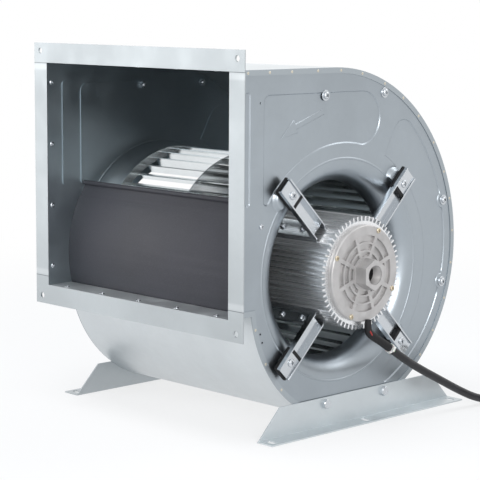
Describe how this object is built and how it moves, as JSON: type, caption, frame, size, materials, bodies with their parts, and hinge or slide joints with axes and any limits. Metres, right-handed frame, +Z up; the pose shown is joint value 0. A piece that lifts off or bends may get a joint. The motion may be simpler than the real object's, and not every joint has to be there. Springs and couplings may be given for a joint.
{
  "type": "centrifugal fan",
  "caption": "Double-inlet centrifugal fan: galvanised scroll casing on foot rails, square outlet frame, forward-curved wheel and finned motor on arms in one inlet.",
  "frame": {"origin": "middle of the six slots in the foot rails, on the floor under them", "axes": "+Z up; the outlet frame faces -Y; the shaft runs along X, with the motor on the +X side"},
  "size_m": [0.6405, 0.629, 0.555],
  "materials": {
    "galvanised_sheet": "galvanised, satin with fine spangle",
    "wheel_galvanised": "galvanised, brighter, rolled strip",
    "dark_coated_sheet": "dark grey satin coat",
    "zinc_steel": "bright zinc plate",
    "yellow_zinc": "yellow passivated zinc",
    "arm_sheet": "bright zinc-plated sheet",
    "housing_aluminium": "extruded, natural",
    "cast_aluminium": "die-cast, blasted",
    "bearing_steel": "ground",
    "turned_steel": "turned",
    "laminated_steel": "stacked laminations",
    "winding_copper": "varnished copper wire",
    "black_rubber": "moulded, matt",
    "black_cable": "smooth sheath, satin",
    "white_nylon": "moulded"
  },
  "bodies": {
    "casing": {"scroll_wrapper": "galvanised_sheet", "side_plate_motor_side": "galvanised_sheet", "side_plate_far_side": "galvanised_sheet", "cutoff_plate": "dark_coated_sheet", "cutoff_screws": "zinc_steel", "flange_top": "galvanised_sheet", "flange_bottom": "galvanised_sheet", "flange_motor_side": "galvanised_sheet", "flange_far_side": "galvanised_sheet", "flange_rivets": "zinc_steel", "foot_rail_motor_side": "galvanised_sheet", "foot_rail_far_side": "galvanised_sheet", "foot_bolts": "zinc_steel", "foot_nuts": "zinc_steel", "casing_screws": "zinc_steel", "casing_nuts": "zinc_steel", "motor_housing": "housing_aluminium", "end_shield_outer": "cast_aluminium", "end_shield_inner": "cast_aluminium", "shield_screws": "yellow_zinc", "bearing_outer_ring_outboard": "bearing_steel", "bearing_outer_ring_inboard": "bearing_steel", "stator_core": "laminated_steel", "stator_windings": "winding_copper", "motor_arm_1": "arm_sheet", "motor_arm_2": "arm_sheet", "motor_arm_3": "arm_sheet", "motor_arm_4": "arm_sheet", "rubber_mounts": "black_rubber", "arm_washers": "zinc_steel", "arm_bolts": "zinc_steel", "arm_nuts": "zinc_steel", "leg_screws": "zinc_steel", "cable_gland": "black_rubber", "cable_sleeve": "black_cable", "cable_tie": "white_nylon", "power_cable_run": "black_cable", "power_cable_coil": "black_cable", "cable_connector": "white_nylon"},
    "wheel": {"wheel_disc": "wheel_galvanised", "wheel_hub": "turned_steel", "hub_rivets": "zinc_steel", "hub_set_screw": "turned_steel", "blades_motor_side": "wheel_galvanised", "blades_far_side": "wheel_galvanised", "wheel_rim_motor_side": "wheel_galvanised", "wheel_rim_far_side": "wheel_galvanised", "motor_shaft": "turned_steel", "rotor_core": "laminated_steel", "bearing_inner_ring_outboard": "bearing_steel", "bearing_inner_ring_inboard": "bearing_steel"}
  },
  "joints": [
    {"name": "wheel_spin", "type": "hinge", "parent": "casing", "child": "wheel", "pos_m": [0, -0.04, 0.23], "axis": [1, 0, 0], "continuous": true}
  ]
}
